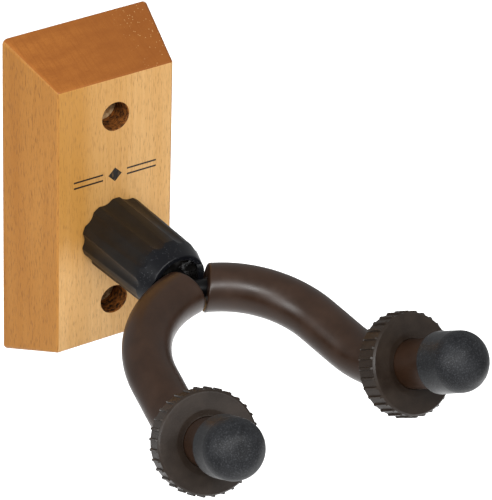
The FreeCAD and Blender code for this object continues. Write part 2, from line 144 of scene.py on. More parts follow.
CAP_LENGTH = 0.01839         # 0.01 mm short of the CAD's, so the mesh stays inside its box
CAP_HOLE_GAP = 0.00002
CAP_FLOOR_GAP = 0.00005
CAP_HOLE_ROUND = 0.0002
CAP_LIP_ROUND = 0.0007
CAP_MOUTH_RADIUS = 0.0104
CAP_SHOULDER = 0.0132
CAP_SHOULDER_RADIUS = 0.0102
CAP_CROWN_RADIUS = 0.0055
CAP_ROUND = 0.0070
CAP_DOME_START = 0.0095

BLOCK_LOW, BLOCK_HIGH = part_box("wood_block")
BLOCK_DEPTH = -BLOCK_LOW.y

SIDES = {-1: "left", 1: "right"}

# ---------------------------------------------------------------- how finely the meshes are cut

DRILL_POINTS = 64
FILL_POINTS = 120
ROD_POINTS = 32
TUBE_POINTS = 96
CAP_POINTS = 96
COLLAR_POINTS = 360
POINTS_PER_RIB = 20
FILL_STEP = 0.0003
ROD_STEP = 0.0012
TUBE_STEP = 0.0011
TUBE_END_STEPS = 6
COLLAR_STEP = 0.0008
RING_STEP = 0.0005
CAP_STEP = 0.001


# ---------------------------------------------------------------- where things stand

def yoke_place():
    return Matrix.Translation(SWIVEL) @ Matrix.Rotation(math.radians(YOKE_TURN), 4, "Y")


def direction(sideways, upward):
    """Unit vector leaving the wall, turned sideways from straight out and tilted upward."""
    turn = math.radians(sideways)
    tilt = math.radians(upward)
    flat = math.cos(tilt)
    return Vector((math.sin(turn) * flat, -math.cos(turn) * flat, math.sin(tilt)))


def arm_corners(side):
    """Corners of one arm's centre line, in the yoke's own frame; side is 1 right, -1 left."""
    corners = [Vector((0.0, -YOKE_REACH, 0.0))]
    for length, heading in (
        (ARM_RUN, direction(90 - ARM_SWEEP, -ARM_DROOP)),
        (REACH_RUN, direction(REACH_SPLAY, -REACH_DIP)),
        (TIP_RUN, direction(REACH_SPLAY, TIP_RISE)),
    ):
        heading.x *= side
        corners.append(corners[-1] + heading * length)
    return corners


def tip_place(side):
    """The frame at an arm's tip: +Y runs out along the tip."""
    corners = arm_corners(side)
    heading = corners[-1] - corners[-2]
    turned = Vector((0, 1, 0)).rotation_difference(heading).to_matrix().to_4x4()
    return yoke_place() @ Matrix.Translation(corners[-1]) @ turned


# ---------------------------------------------------------------- mesh helpers

def finish_mesh(mesh, sharp=40.0):
    """Joins doubled points, faces every normal outward and keeps only the real edges sharp."""
    work = bmesh.new()
    work.from_mesh(mesh)
    bmesh.ops.remove_doubles(work, verts=work.verts, dist=1e-7)
    bmesh.ops.dissolve_degenerate(work, edges=work.edges, dist=1e-7)
    bmesh.ops.recalc_face_normals(work, faces=work.faces)
    work.to_mesh(mesh)
    work.free()
    mesh.shade_smooth()
    mesh.set_sharp_from_angle(angle=math.radians(sharp))


def skin(name, rings, loop=True, place=None):
    """A surface over rings of points; loop joins the last ring to the first."""
    count = len(rings[0])
    faces = []
    for row in range(len(rings) if loop else len(rings) - 1):
        near = row * count
        far = (row + 1) % len(rings) * count
        for step in range(count):
            after = (step + 1) % count
            faces.append((near + step, near + after, far + after, far + step))
    mesh = bpy.data.meshes.new(name)
    mesh.from_pydata([tuple(point) for ring in rings for point in ring], [], faces)
    if place is not None:
        mesh.transform(place)
    finish_mesh(mesh)
    piece = bpy.data.objects.new(name, mesh)
    bpy.context.scene.collection.objects.link(piece)
    return piece


def rounded(corners, steps=6):
    """A closed outline through (along, radius, rounding) corners, with round corners as arcs."""
    outline = []
    befores = corners[-1:] + corners[:-1]
    afters = corners[1:] + corners[:1]
    for before, corner, after in zip(befores, corners, afters):
        here = Vector(corner[:2])
        if corner[2] == 0:
            outline.append(here)
            continue
        to_before = (Vector(before[:2]) - here).normalized()
        to_after = (Vector(after[:2]) - here).normalized()
        half = to_before.angle(to_after) / 2
        centre = here + (to_before + to_after).normalized() * corner[2] / math.sin(half)
        start = here + to_before * corner[2] / math.tan(half) - centre
        finish = here + to_after * corner[2] / math.tan(half) - centre
        first = math.atan2(start.y, start.x)
        turn = math.remainder(math.atan2(finish.y, finish.x) - first, math.tau)
        for step in range(steps + 1):
            angle = first + turn * step / steps
            outline.append(centre + Vector((math.cos(angle), math.sin(angle))) * corner[2])
    return outline


def divided(outline, longest):
    """The closed outline with its long stretches cut into equal shorter ones."""
    points = []
    for here, after in zip(outline, outline[1:] + outline[:1]):
        parts = max(1, math.ceil((after - here).length / longest))
        points += [here.lerp(after, part / parts) for part in range(parts)]
    return points


def turned_rings(outline, count, radius_at=None):
    """Rings about +Y for each (along, radius) point; radius_at may change it round the ring."""
    rings = []
    for along, radius in outline:
        ring = []
        for step in range(count):
            angle = math.tau * step / count
            here = radius if radius_at is None else radius_at(along, radius, angle)
            ring.append(Vector((here * math.cos(angle), along, here * math.sin(angle))))
        rings.append(ring)
    return rings


def turned(name, corners, place, count=96, steps=6):
    """A solid of revolution about +Y with rounded corners."""
    return skin(name, turned_rings(rounded(corners, steps), count), place=place)


def keep_result(piece):
    """Makes what the modifiers give the piece's own mesh."""
    graph = bpy.context.evaluated_depsgraph_get()
    result = bpy.data.meshes.new_from_object(piece.evaluated_get(graph))
    piece.modifiers.clear()
    piece.data = result


def cut_out(piece, cutters):
    """Takes the cutters' shapes out of the piece and deletes the cutters."""
    for cutter in cutters:
        cut = piece.modifiers.new("cut", "BOOLEAN")
        cut.operation = "DIFFERENCE"
        cut.solver = "EXACT"
        cut.object = cutter
    keep_result(piece)
    for cutter in cutters:
        bpy.data.objects.remove(cutter)
    finish_mesh(piece.data)


def flatten_shading(piece):
    """Large flat faces stay flat in the light beside their rounded edges."""
    weigh = piece.modifiers.new("flat_faces", "WEIGHTED_NORMAL")
    weigh.keep_sharp = True
    weigh.weight = 100


def settle(piece, body, material=None, node=None):
    """Gives a piece its material, the body it rides on and the node it stands for."""
    if material is not None:
        piece.data.materials.clear()
        piece.data.materials.append(material)
    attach(piece, body)
    if node is not None:
        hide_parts(node)
    return piece


# ---------------------------------------------------------------- material helpers

def tone(red, green, blue):
    """A display colour, 0 to 255, as the linear colour that a shader takes."""
    def linear(channel):
        share = channel / 255
        return share / 12.92 if share <= 0.04045 else ((share + 0.055) / 1.055) ** 2.4
    return (linear(red), linear(green), linear(blue), 1.0)


class Paint:
    """A Principled material being put together on object coordinates in metres."""

    def __init__(self, name, roughness=0.5, metallic=0.0, specular=0.5):
        self.material = bpy.data.materials.new(name)
        self.material.use_nodes = True
        self.tree = self.material.node_tree
        self.shader = self.tree.nodes["Principled BSDF"]
        self.shader.inputs["Roughness"].default_value = roughness
        self.shader.inputs["Metallic"].default_value = metallic
        self.shader.inputs["Specular IOR Level"].default_value = specular
        self.place = self.tree.nodes.new("ShaderNodeTexCoord").outputs["Object"]

    def feed(self, socket, source):
        """Sets a socket from a plain value or from another node's output."""
        if isinstance(source, bpy.types.NodeSocket):
            self.tree.links.new(source, socket)
        else:
            socket.default_value = source

    def stretched(self, across, deep, up):
        """Coordinates on which one unit is that many metres along X, Y and Z."""
        mapping = self.tree.nodes.new("ShaderNodeMapping")
        mapping.inputs["Scale"].default_value = (1 / across, 1 / deep, 1 / up)
        self.tree.links.new(self.place, mapping.inputs["Vector"])
        return mapping.outputs["Vector"]

    def even(self, size):
        """Coordinates on which one unit is that many metres every way."""
        return self.stretched(size, size, size)

    def cloud(self, vector, detail=3.0, roughness=0.5, distortion=0.0):
        """Noise between about 0.25 and 0.75 whose grains are one unit wide."""
        cloud = self.tree.nodes.new("ShaderNodeTexNoise")
        cloud.inputs["Scale"].default_value = 1.0
        cloud.inputs["Detail"].default_value = detail
        cloud.inputs["Roughness"].default_value = roughness
        cloud.inputs["Distortion"].default_value = distortion
        self.tree.links.new(vector, cloud.inputs["Vector"])
        return cloud.outputs["Fac"]

    def cells(self, vector):
        """Distance from the nearest of scattered points, one to a unit."""
        cells = self.tree.nodes.new("ShaderNodeTexVoronoi")
        cells.inputs["Scale"].default_value = 1.0
        self.tree.links.new(vector, cells.inputs["Vector"])
        return cells.outputs["Distance"]

    def spread(self, source, low, high, to_low=0.0, to_high=1.0):
        """The source's range low to high, clamped, laid over another range."""
        spread = self.tree.nodes.new("ShaderNodeMapRange")
        self.feed(spread.inputs["Value"], source)
        spread.inputs["From Min"].default_value = low
        spread.inputs["From Max"].default_value = high
        spread.inputs["To Min"].default_value = to_low
        spread.inputs["To Max"].default_value = to_high
        return spread.outputs["Result"]

    def maths(self, operation, first, second=0.0):
        """The output of one sum."""
        maths = self.tree.nodes.new("ShaderNodeMath")
        maths.operation = operation
        self.feed(maths.inputs[0], first)
        self.feed(maths.inputs[1], second)
        return maths.outputs[0]

    def blend(self, factor, first, second):
        """One colour passing into another as the factor goes from 0 to 1."""
        blend = self.tree.nodes.new("ShaderNodeMix")
        blend.data_type = "RGBA"
        self.feed(blend.inputs["Factor"], factor)
        self.feed(blend.inputs[6], first)
        self.feed(blend.inputs[7], second)
        return blend.outputs[2]

    def colour(self, source):
        self.feed(self.shader.inputs["Base Color"], source)

    def roughness(self, source):
        self.feed(self.shader.inputs["Roughness"], source)

    def relief(self, height, depth):
        """Raises the surface by the height, 0 to 1, times a depth in metres."""
        bump = self.tree.nodes.new("ShaderNodeBump")
        bump.inputs["Distance"].default_value = depth
        normal = self.shader.inputs["Normal"]
        if normal.is_linked:
            self.tree.links.new(normal.links[0].from_socket, bump.inputs["Normal"])
        self.tree.links.new(height, bump.inputs["Height"])
        self.tree.links.new(bump.outputs["Normal"], normal)

    def axes(self):
        """The object coordinates as three outputs."""
        split = self.tree.nodes.new("ShaderNodeSeparateXYZ")
        self.tree.links.new(self.place, split.inputs["Vector"])
        return split.outputs["X"], split.outputs["Y"], split.outputs["Z"]


# ---------------------------------------------------------------- materials

INK_UP = 0.0135
INK_HALF_LENGTH = 0.0165
INK_INNER_END = 0.0048
INK_HALF_STROKE = 0.00032
INK_STROKE_GAP = 0.0011
INK_LOZENGE_HALF = 0.0027
INK_SKIN = 0.0002
INK_WORN = 0.82

# A grain's three sizes are its length across, deep and up.
WOOD_BANDS = (0.012, 0.012, 0.16)
WOOD_STREAKS = (0.0008, 0.0008, 0.022)
WOOD_DASHES = (0.00034, 0.00034, 0.0030)
AMBER_LEFT = -0.024
AMBER_RIGHT = 0.010
AMBER_LOW = -0.022
AMBER_HIGH = -0.006

END_MOTTLE = (0.008, 0.004, 0.004)
END_RAYS = (0.0007, 0.012, 0.012)
# Painted shade on the end grain: it darkens from the first place across to the second, standing for the
# light falling from the left.
END_SHADE_FROM = -0.022
END_SHADE_FULL = 0.024
PORE_SPACING = 0.0012
PORES_FROM = 0.011
PORES_FULL = 0.017

TORN_GRAIN = (0.0016, 0.0011, 0.0016)
DRILL_RINGS = (0.02, 0.0007, 0.02)

NOSE_TONE_FROM = 0.0570
NOSE_TONE_FULL = 0.0625

SMOOTH_RELIEF = 0.00001
LIGHT_RELIEF = 0.00002
MATT_RELIEF = 0.00003
GRAIN_RELIEF = 0.00004
TORN_RELIEF = 0.0001


def ink_mark(paint):
    """Mask of a plain printed ornament: a lozenge between two pairs of level strokes."""
    across, deep, up = paint.axes()
    out = paint.maths("ABSOLUTE", across)
    above = paint.maths("ABSOLUTE", paint.maths("SUBTRACT", up, INK_UP))
    lozenge = paint.maths("LESS_THAN", paint.maths("ADD", out, above), INK_LOZENGE_HALF)
    off_stroke = paint.maths("ABSOLUTE", paint.maths("SUBTRACT", above, INK_STROKE_GAP))
    stroke = paint.maths("LESS_THAN", off_stroke, INK_HALF_STROKE)
    stroke = paint.maths("MULTIPLY", stroke, paint.maths("GREATER_THAN", out, INK_INNER_END))
    stroke = paint.maths("MULTIPLY", stroke, paint.maths("LESS_THAN", out, INK_HALF_LENGTH))
    on_front = paint.maths("LESS_THAN", deep, -BLOCK_DEPTH + INK_SKIN)
    return paint.maths("MULTIPLY", paint.maths("MAXIMUM", lozenge, stroke), on_front)


def amber(paint):
    """Share of a warmer, darker tone on the front: most at the left, and none far below the collar."""
    across, _, up = paint.axes()
    leftward = paint.spread(across, AMBER_LEFT, AMBER_RIGHT, 1.0, 0.0)
    return paint.maths("MULTIPLY", leftward, paint.spread(up, AMBER_LOW, AMBER_HIGH))


def wood(name, pale, warm, fleck, flecked, inked=False):
    """Close-grained hardwood, the grain running up Z, under a satin lacquer."""
    paint = Paint(name, specular=0.4)
    bands = paint.cloud(paint.stretched(*WOOD_BANDS), detail=2.0, distortion=0.6)
    streaks = paint.cloud(paint.stretched(*WOOD_STREAKS), detail=4.0, roughness=0.65)
    dashes = paint.cloud(paint.stretched(*WOOD_DASHES), detail=2.0)
    share = paint.spread(bands, 0.34, 0.66)
    if inked:
        share = paint.maths("ADD", paint.maths("MULTIPLY", share, 0.35), amber(paint))
    base = paint.blend(share, pale, warm)
    base = paint.blend(paint.spread(streaks, 0.42, 0.72, 0.0, 0.45), base, warm)
    flecks = paint.spread(dashes, 0.55, 0.68, 0.0, flecked)
    base = paint.blend(flecks, base, fleck)
    if inked:
        worn = paint.spread(dashes, 0.30, 0.42, INK_WORN, 1.0)
        printed = paint.maths("MULTIPLY", ink_mark(paint), worn)
        base = paint.blend(printed, base, tone(30, 24, 22))
    paint.colour(base)
    paint.roughness(paint.spread(streaks, 0.3, 0.7, 0.44, 0.56))
    paint.relief(streaks, GRAIN_RELIEF)
    paint.relief(paint.maths("SUBTRACT", 1.0, flecks), GRAIN_RELIEF)
    return paint.material


def end_grain(name, base_tone, dark, pale):
    """The same wood cut across: fine rays, soft mottling, a few pale open pores and painted shade
    towards the right.
    """
    paint = Paint(name, roughness=0.5, specular=0.35)
    mottle = paint.cloud(paint.stretched(*END_MOTTLE), detail=3.0, roughness=0.55)
    rays = paint.cloud(paint.stretched(*END_RAYS), detail=3.0, roughness=0.6)
    grain = paint.cloud(paint.even(0.0004), detail=2.0)
    across = paint.axes()[0]
    # Painted shade: darker towards the right of the end grain, standing for the light falling from the
    # left.
    shaded_rightward = paint.spread(across, END_SHADE_FROM, END_SHADE_FULL, 0.0, 0.7)
    colour = paint.blend(shaded_rightward, base_tone, dark)
    colour = paint.blend(paint.spread(mottle, 0.36, 0.66, 0.0, 0.5), colour, dark)
    colour = paint.blend(paint.spread(rays, 0.45, 0.75, 0.0, 0.5), colour, dark)
    colour = paint.blend(paint.spread(grain, 0.5, 0.72, 0.0, 0.5), colour, dark)
    pores = paint.cells(paint.even(PORE_SPACING))
    open_pores = paint.spread(pores, 0.11, 0.19, 0.75, 0.0)
    pored = paint.spread(across, PORES_FROM, PORES_FULL)
    open_pores = paint.maths("MULTIPLY", open_pores, pored)
    colour = paint.blend(open_pores, colour, pale)
    paint.colour(colour)
    paint.relief(grain, MATT_RELIEF)
    return paint.material


def rough_bore(name, base_tone, dark):
    """The torn wood inside a drilled hole, in the tones it is given; these carry painted shade on the
    walls and a painted highlight on the floors.
    """
    paint = Paint(name, roughness=0.7, specular=0.2)
    torn = paint.cloud(paint.stretched(*TORN_GRAIN), detail=4.0, roughness=0.7)
    rings = paint.cloud(paint.stretched(*DRILL_RINGS), detail=2.0)
    colour = paint.blend(paint.spread(torn, 0.38, 0.6), base_tone, dark)
    colour = paint.blend(paint.spread(rings, 0.45, 0.7, 0.0, 0.3), colour, dark)
    paint.colour(colour)
    paint.relief(torn, TORN_RELIEF)
    return paint.material


def moulded(name, base, lighter, roughness, grain, relief, specular=0.5):
    """Moulded plastic or rubber with a fine grain and faint handling marks."""
    paint = Paint(name, specular=specular)
    marks = paint.cloud(paint.even(0.007), detail=3.0, roughness=0.55)
    fine = paint.cloud(paint.even(grain), detail=2.0)
    colour = paint.blend(paint.spread(marks, 0.35, 0.7), base, lighter)
    paint.colour(paint.blend(paint.spread(fine, 0.55, 0.8, 0.0, 0.35), colour, lighter))
    paint.roughness(paint.spread(marks, 0.3, 0.7, roughness - 0.05, roughness + 0.07))
    paint.relief(fine, relief)
    return paint.material


def nose_plastic(name, base, lighter, nose, dust):
    """The collar's plastic: satin along the flutes, glossier and cooler on its nose."""
    paint = Paint(name, specular=0.27)
    marks = paint.cloud(paint.even(0.006), detail=3.0, roughness=0.6)
    fine = paint.cloud(paint.even(0.0005), detail=2.0)
    on_nose = paint.spread(paint.axes()[1], -NOSE_TONE_FROM, -NOSE_TONE_FULL)
    colour = paint.blend(paint.spread(marks, 0.38, 0.66), base, lighter)
    colour = paint.blend(on_nose, colour, nose)
    specks = paint.spread(paint.cells(paint.even(0.0007)), 0.1, 0.2, 0.7, 0.0)
    dusty = paint.maths("MULTIPLY", specks, paint.spread(marks, 0.5, 0.6))
    dusty = paint.maths("MULTIPLY", dusty, on_nose)
    paint.colour(paint.blend(dusty, colour, dust))
    gloss = paint.spread(on_nose, 0.0, 1.0, 0.45, 0.30)
    scuffs = paint.spread(marks, 0.3, 0.7, -0.04, 0.05)
    paint.roughness(paint.maths("ADD", gloss, scuffs))
    paint.relief(fine, SMOOTH_RELIEF)
    return paint.material


def dusty_rubber(name, base, dust, roughness):
    """Dark rubber finely speckled with pale dust, under a faint bloom."""
    paint = Paint(name, specular=0.3)
    bloom = paint.cloud(paint.even(0.006), detail=3.0, roughness=0.5)
    fine = paint.cloud(paint.even(0.0005), detail=3.0, roughness=0.7)
    specks = paint.cells(paint.even(0.0008))
    colour = paint.blend(paint.spread(bloom, 0.35, 0.7, 0.0, 0.14), base, dust)
    colour = paint.blend(paint.spread(fine, 0.5, 0.72, 0.0, 0.5), colour, dust)
    colour = paint.blend(paint.spread(specks, 0.06, 0.16, 0.7, 0.0), colour, dust)
    paint.colour(colour)
    paint.roughness(paint.spread(bloom, 0.3, 0.7, roughness - 0.06, roughness + 0.08))
    paint.relief(fine, GRAIN_RELIEF)
    return paint.material


def metal(name, base, darker, roughness):
    """Plated or bare steel with fine turning marks and stains."""
    paint = Paint(name, metallic=1.0)
    stains = paint.cloud(paint.even(0.003), detail=4.0)
    fine = paint.cloud(paint.even(0.0003), detail=2.0)
    paint.colour(paint.blend(paint.spread(stains, 0.35, 0.7), base, darker))
    paint.roughness(paint.spread(stains, 0.3, 0.7, roughness - 0.06, roughness + 0.12))
    paint.relief(fine, SMOOTH_RELIEF)
    return paint.material


def make_woods():
    return {
        "wood_face": wood("wood_face", tone(232, 184, 120), tone(205, 147, 70),
                          tone(158, 106, 52), flecked=0.5, inked=True),
        "wood_side": wood("wood_side", tone(198, 138, 65), tone(181, 119, 48),
                          tone(140, 88, 36), flecked=0.7),
        "wood_end": end_grain("wood_end", tone(180, 110, 43), tone(148, 82, 26),
                              tone(230, 180, 116)),
        # The walls' wood is the torn grain, darkened further with painted shade inside the holes.
        "hole_wall_shaded": rough_bore("hole_wall_shaded", tone(158, 94, 38), tone(44, 25, 12)),
        # The floors' pale cream wood is partly the milled cross grain and partly a painted highlight for
        # the light on the upper hole's floor.
        "hole_floor_lit": rough_bore("hole_floor_lit", tone(216, 184, 138), tone(150, 112, 72)),
    }


def make_plastics():
    return {
        "black_plastic": nose_plastic(
            "black_plastic", tone(21, 18, 15), tone(28, 24, 20),
            nose=tone(17, 18, 22), dust=tone(110, 112, 116)),
        "mouth_fill": moulded(
            "mouth_fill", tone(10, 9, 8), tone(18, 17, 16),
            roughness=0.28, grain=0.0012, relief=SMOOTH_RELIEF, specular=0.4),
        "brown_tubing": moulded(
            "brown_tubing", tone(48, 30, 18), tone(57, 37, 24),
            roughness=0.33, grain=0.0005, relief=SMOOTH_RELIEF),
        "ring_rubber": moulded(
            "ring_rubber", tone(36, 26, 18), tone(50, 39, 30),
            roughness=0.42, grain=0.0005, relief=MATT_RELIEF, specular=0.45),
        "cap_side": dusty_rubber(
            "cap_side", tone(28, 29, 31), tone(88, 90, 93), roughness=0.35),
        "cap_dome": dusty_rubber(
            "cap_dome", tone(18, 19, 22), tone(88, 90, 94), roughness=0.50),
        "nylon": moulded(
            "nylon", tone(224, 220, 206), tone(236, 233, 222),
            roughness=0.42, grain=0.0006, relief=LIGHT_RELIEF),
        "insert_nylon": moulded(
            "insert_nylon", tone(58, 92, 150), tone(72, 108, 168),
            roughness=0.40, grain=0.0006, relief=LIGHT_RELIEF),
    }


def make_steels():
    return {
        "black_steel": moulded(
            "black_steel", tone(10, 10, 11), tone(18, 18, 19),
            roughness=0.4, grain=0.0009, relief=SMOOTH_RELIEF, specular=0.25),
        "zinc_steel": metal("zinc_steel", tone(206, 208, 204), tone(170, 172, 166), 0.30),
        "spring_steel": metal("spring_steel", tone(96, 98, 102), tone(66, 68, 72), 0.36),
    }


# ---------------------------------------------------------------- the wall block

FACE, SIDE, END, HOLE, SINK = range(5)
BLOCK_CORNER_STEPS = 8
BLOCK_EDGE_STEPS = 6
SLANTED = 0.35
LEVEL = 0.9


def drill(name, corners, at):
    """A cutting tool turned about +Y at a place, whose faces carry the hole's material."""
    tool = turned(name, corners, Matrix.Translation(at), DRILL_POINTS, steps=1)
    for face in tool.data.polygons:
        face.material_index = HOLE
    return tool


def block_drills():
    """Tools for the two sunk screw holes and the swivel's bore, seat and recess."""
    front = -BLOCK_DEPTH
    beyond = 0.002
    mouth = SINK_RADIUS + SINK_CHAMFER
    screw_hole = [
        (front - beyond, 0, 0),
        (front - beyond, mouth + beyond, 0),
        (front, mouth, 0),
        (front + SINK_CHAMFER, SINK_RADIUS, 0),
        (front + SINK_DEPTH, SINK_RADIUS, 0),
        (front + SINK_DEPTH, SCREW_RADIUS, 0),
        (beyond, SCREW_RADIUS, 0),
        (beyond, 0, 0),
    ]
    swivel_bore = [
        (front - beyond, 0, 0),
        (front - beyond, SEAT_RADIUS, 0),
        (front + SEAT_DEPTH, SEAT_RADIUS, 0),
        (front + SEAT_DEPTH, BORE_RADIUS, 0),
        (-RECESS_DEPTH, BORE_RADIUS, 0),
        (-RECESS_DEPTH, RECESS_RADIUS, 0),
        (beyond, RECESS_RADIUS, 0),
        (beyond, 0, 0),
    ]
    return [
        drill("upper_drill", screw_hole, Vector((0, 0, SCREW_UP))),
        drill("lower_drill", screw_hole, Vector((0, 0, -SCREW_UP))),
        drill("swivel_drill", swivel_bore, SWIVEL),
    ]


def rounded_rectangle(half_width, half_height, corner, along):
    """A ring of points round a rectangle with round corners, at a place along Y."""
    ring = []
    for quarter in range(4):
        across = 1 if quarter in (0, 3) else -1
        up = 1 if quarter < 2 else -1
        centre = Vector(((half_width - corner) * across, along, (half_height - corner) * up))
        for step in range(BLOCK_CORNER_STEPS + 1):
            angle = math.pi / 2 * (quarter + step / BLOCK_CORNER_STEPS)
            ring.append(centre + Vector((math.cos(angle), 0, math.sin(angle))) * corner)
    return ring


def block_ring(back, front, depth):
    """The block's outline at a depth from its back, drawn in where an edge is rounded."""
    part = depth / BLOCK_DEPTH
    near_end = min(depth, BLOCK_DEPTH - depth)
    into = max(BLOCK_ROUND - near_end, 0.0)
    drawn_in = BLOCK_ROUND - math.sqrt(BLOCK_ROUND ** 2 - into ** 2)
    corner = BLOCK_BACK_CORNER + (BLOCK_FRONT_CORNER - BLOCK_BACK_CORNER) * part
    half = back.lerp(front, part)
    return rounded_rectangle(half.x - drawn_in, half.z - drawn_in, corner, -depth)


def make_block(materials):
    """The bevelled block, its edges rounded, its holes drilled and its grain by face."""
    back = Vector((BLOCK_HIGH.x + BACK_EDGE_OUT, 0, BLOCK_HIGH.z + BACK_EDGE_UP))
    front = Vector((BLOCK_FRONT_WIDTH / 2, 0, BLOCK_FRONT_HEIGHT / 2))
    turns = [math.pi / 2 * step / BLOCK_EDGE_STEPS for step in range(BLOCK_EDGE_STEPS + 1)]
    depths = [BLOCK_ROUND * (1 - math.cos(turn)) for turn in turns]
    depths += [BLOCK_DEPTH - depth for depth in reversed(depths)]
    rings = [block_ring(back, front, depth) for depth in depths]
    rings = [[Vector((0, 0, 0))] * len(rings[0])] + rings
    rings.append([Vector((0, -BLOCK_DEPTH, 0))] * len(rings[0]))
    block = skin("hardwood_block", rings, loop=False)
    mesh = block.data
    for name in ("wood_face", "wood_side", "wood_end", "hole_wall_shaded", "hole_floor_lit"):
        mesh.materials.append(materials[name])
    for face in mesh.polygons:
        slant = [abs(part) for part in face.normal]
        if slant[2] > SLANTED and slant[2] > slant[0]:
            face.material_index = END
        elif slant[0] > SLANTED:
            face.material_index = SIDE
        else:
            face.material_index = FACE
    cut_out(block, block_drills())
    # Level faces in the holes take the pale floor wood with its painted highlight; the walls keep the
    # darker wood with its painted shade.
    for face in block.data.polygons:
        if face.material_index == HOLE and abs(face.normal.y) > LEVEL:
            face.material_index = SINK
    flatten_shading(block)
    settle(block, "wall_side", node="wood_block")


# ---------------------------------------------------------------- the collar

def smooth_least(first, second, ease):
    """The lesser of two numbers, eased where they are close."""
    near = max(ease - abs(first - second), 0.0) / ease
    return min(first, second) - near * near * ease / 4


def fluted_radius(along, radius, angle):
    """The collar's radius at an angle, where a ball-ended flute may cut into it."""
    axis_out = COLLAR_BACK_RADIUS - FLUTE_DEPTH + FLUTE_RADIUS
    past = max(0.0, -along - FLUTE_END)
    if past >= FLUTE_RADIUS:
        return radius
    reach = math.sqrt(FLUTE_RADIUS ** 2 - past ** 2)
    pitch = math.tau / FLUTE_COUNT
    off = math.remainder(angle - math.pi / 2, pitch)
    sideways = axis_out * math.sin(off)
    if abs(sideways) >= reach:
        return radius
    floor = axis_out * math.cos(off) - math.sqrt(reach ** 2 - sideways ** 2)
    return smooth_least(radius, floor, FLUTE_EDGE)


def saddle_cutter(side):
    """The space that one tube needs in the collar's nose."""
    corners = arm_corners(side)
    heading = corners[1] - corners[0]
    upright = Vector((0, 1, 0)).rotation_difference(heading).to_matrix().to_4x4()
    place = yoke_place() @ Matrix.Translation(corners[0]) @ upright
    radius = TUBE_RADIUS + SADDLE_CLEARANCE
    return turned(SIDES[side] + "_saddle_tool", [
        (0, 0, 0), (0, radius, 0), (ARM_RUN, radius, 0), (ARM_RUN, 0, 0),
    ], place, steps=1)


def make_collar(materials):
    """Fluted sleeve with a rounded nose, an open mouth and a saddle for the two tubes."""
    back = -BLOCK_DEPTH - COLLAR_GAP
    washer_seat = -BLOCK_DEPTH - THRUST_GAP - WASHER_THICKNESS
    seat_radius = WASHER_RADIUS + WASHER_GAP
    outline = rounded([
        (back, seat_radius, WASHER_SEAT_ROUND),
        (back, COLLAR_BACK_RADIUS, COLLAR_EDGE_ROUND),
        (-COLLAR_BODY_END, COLLAR_FRONT_RADIUS, NOSE_ROUND),
        (-COLLAR_NOSE_END, NOSE_RIM_RADIUS, RIM_ROUND),
        (-COLLAR_NOSE_END, MOUTH_RADIUS, MOUTH_ROUND),
        (-MOUTH_FLOOR, MOUTH_RADIUS, MOUTH_FLOOR_ROUND),
        (-MOUTH_FLOOR, SPACER_RADIUS, 0),
        (washer_seat, SPACER_RADIUS, 0),
        (washer_seat, seat_radius, 0),
    ], steps=10)
    rings = turned_rings(divided(outline, COLLAR_STEP), COLLAR_POINTS, fluted_radius)
    place = yoke_place() @ Matrix.Rotation(math.radians(FLUTE_TURN), 4, "Y")
    collar = skin("fluted_collar", rings, place=place)
    cut_out(collar, [saddle_cutter(-1), saddle_cutter(1)])
    settle(collar, "yoke", materials["black_plastic"], "collar")


def lump(point):
    """How much the filling's face is raised or sunk at a point, about -1 to 1."""
    coarse = noise.noise(point * LUMPS_PER_METRE)
    return coarse * 0.8 + noise.noise(point * PITS_PER_METRE) * 0.2


def make_mouth_fill(materials):
    """Rough dark filling pressed round the stud in the collar's mouth."""
    floor = -MOUTH_FLOOR - FILL_GAP
    outer = MOUTH_RADIUS - FILL_GAP
    inner = STUD_RADIUS + FILL_GAP
    outline = [(-FILL_FRONT, radius) for radius in spaced(outer, inner, FILL_STEP)]
    rings = turned_rings([(floor, outer)], FILL_POINTS)
    for ring in turned_rings(outline, FILL_POINTS):
        rings.append([point + Vector((0, lump(point) * FILL_LUMPS, 0)) for point in ring])
    rings += turned_rings([(floor, inner)], FILL_POINTS)
    fill = skin("mouth_filling", rings, place=yoke_place())
    cut_out(fill, [saddle_cutter(-1), saddle_cutter(1)])
    settle(fill, "yoke", materials["mouth_fill"])


# ---------------------------------------------------------------- the yoke's rod and tubes

